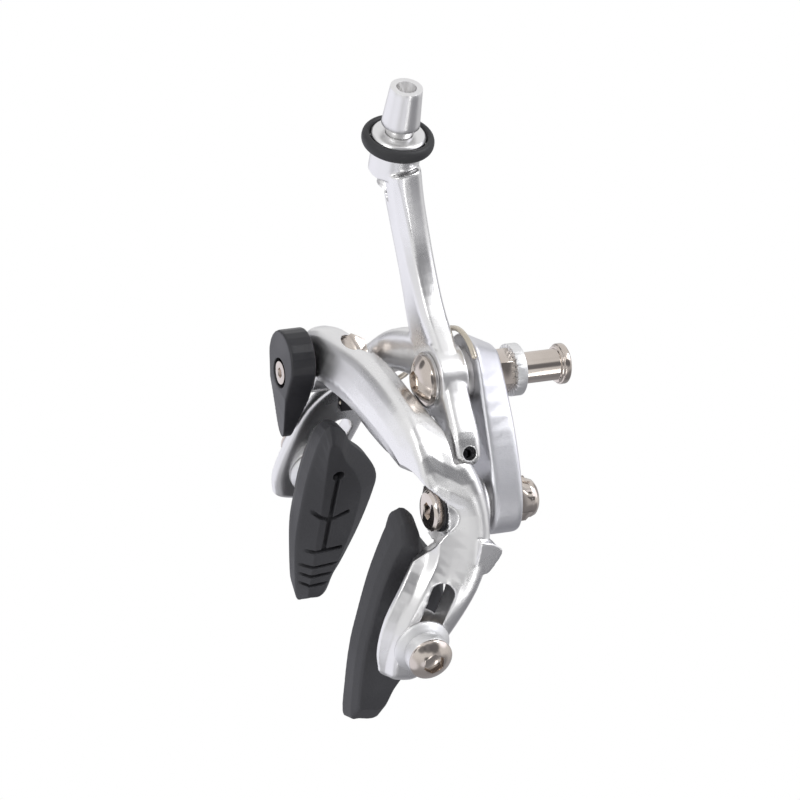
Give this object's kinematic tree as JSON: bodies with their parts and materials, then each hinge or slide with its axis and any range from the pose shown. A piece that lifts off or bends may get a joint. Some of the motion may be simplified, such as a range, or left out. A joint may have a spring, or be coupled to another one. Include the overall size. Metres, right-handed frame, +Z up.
{
  "type": "bicycle caliper brake",
  "caption": "Dual-pivot side-pull rim brake: two sprung forged arms on a fork bolt, with turned pads, a quick release and a cable adjuster.",
  "frame": {"origin": "on the mounting bolt's axis, at the spacer face that meets the fork", "axes": "+Y rearward along the mounting bolt into the fork, +Z up, +X toward the arm that turns about the side pivot"},
  "size_m": [0.0962, 0.0628, 0.1547],
  "materials": {
    "polished_aluminium": "polished",
    "satin_aluminium": "fine brushed",
    "matte_aluminium": "matte",
    "nickel": "bright nickel plate",
    "steel": "plain",
    "spring_wire": "drawn wire",
    "black_steel": "blackened",
    "bronze": "plain",
    "black_plastic": "satin",
    "black_rubber": "matte",
    "pad_rubber": "matte"
  },
  "bodies": {
    "brake_frame": {"bracket": "satin_aluminium", "mounting_bolt": "nickel", "pivot_cap_nut": "nickel", "front_thrust_washer": "steel", "centre_bush": "bronze", "rear_thrust_washer": "steel", "bracket_lock_nut": "nickel", "fork_spacer": "matte_aluminium", "mounting_nut": "nickel", "side_pivot_bolt": "nickel", "side_pivot_washer": "black_plastic", "side_bush": "bronze", "side_thrust_washer": "steel", "side_pivot_nut": "nickel"},
    "adjuster_side": {"adjuster_arm": "polished_aluminium", "return_spring": "spring_wire", "spring_block": "black_plastic", "left_dome_washer": "matte_aluminium", "left_cup_washer": "matte_aluminium", "left_inner_dome": "matte_aluminium", "left_inner_cup": "matte_aluminium"},
    "anchor_side": {"anchor_arm": "polished_aluminium", "cable_clamp": "nickel", "clamp_screw": "nickel", "right_dome_washer": "matte_aluminium", "right_cup_washer": "matte_aluminium", "right_inner_dome": "matte_aluminium", "right_inner_cup": "matte_aluminium"},
    "centring_screw": {"centring_screw": "black_steel"},
    "adjuster_nut": {"adjuster_knob": "polished_aluminium", "adjuster_ring": "black_rubber"},
    "adjuster_barrel": {"cable_barrel": "polished_aluminium"},
    "release_lever": {"quick_release_lever": "black_plastic", "quick_release_screw": "nickel", "quick_release_axle": "steel"},
    "left_pad": {"left_pad": "pad_rubber", "left_pad_insert": "black_steel", "left_pad_bolt": "nickel"},
    "right_pad": {"right_pad": "pad_rubber", "right_pad_insert": "black_steel", "right_pad_bolt": "nickel"}
  },
  "joints": [
    {"name": "adjuster_arm_turn", "type": "hinge", "parent": "brake_frame", "child": "adjuster_side", "pos_m": [0, -0.0209, 0], "axis": [0, -1, 0], "range_deg": [0, 8], "stiffness_Nm_per_rad": 0.6, "springref_deg": -28.65},
    {"name": "anchor_arm_turn", "type": "hinge", "parent": "brake_frame", "child": "anchor_side", "pos_m": [0.0223, -0.0215, -0.0237], "axis": [0, 1, 0], "range_deg": [0, 14.9]},
    {"name": "release_turn", "type": "hinge", "parent": "anchor_side", "child": "release_lever", "pos_m": [-0.033, -0.044, -0.0185], "axis": [0, 1, 0], "range_deg": [0, 110]},
    {"name": "adjuster_nut_turn", "type": "hinge", "parent": "adjuster_side", "child": "adjuster_nut", "pos_m": [-0.0335, -0.0272, 0.051], "axis": [0, 0, 1], "range_deg": [-720, 2160]},
    {"name": "adjuster_barrel_slide", "type": "slide", "parent": "adjuster_side", "child": "adjuster_barrel", "axis": [0, 0, 1], "range_m": [-0.002, 0.006]},
    {"name": "centring_screw_turn", "type": "hinge", "parent": "adjuster_side", "child": "centring_screw", "pos_m": [0.0194, -0.0209, -0.0092], "axis": [0.788, 0, 0.6157], "continuous": true},
    {"name": "left_pad_turn", "type": "hinge", "parent": "adjuster_side", "child": "left_pad", "pos_m": [-0.0393, -0.0342, -0.0526], "axis": [0.9954, 0, -0.0958], "range_deg": [0, 89]},
    {"name": "right_pad_turn", "type": "hinge", "parent": "anchor_side", "child": "right_pad", "pos_m": [0.0393, -0.0342, -0.0528], "axis": [0.9954, 0, 0.0958], "range_deg": [0, 95.5]}
  ],
  "couplings": [
    {"joint": "anchor_arm_turn", "follows": "adjuster_arm_turn", "ratio": 1.86},
    {"joint": "adjuster_nut_turn", "follows": "adjuster_barrel_slide", "rad_per_m": 6283.2}
  ]
}
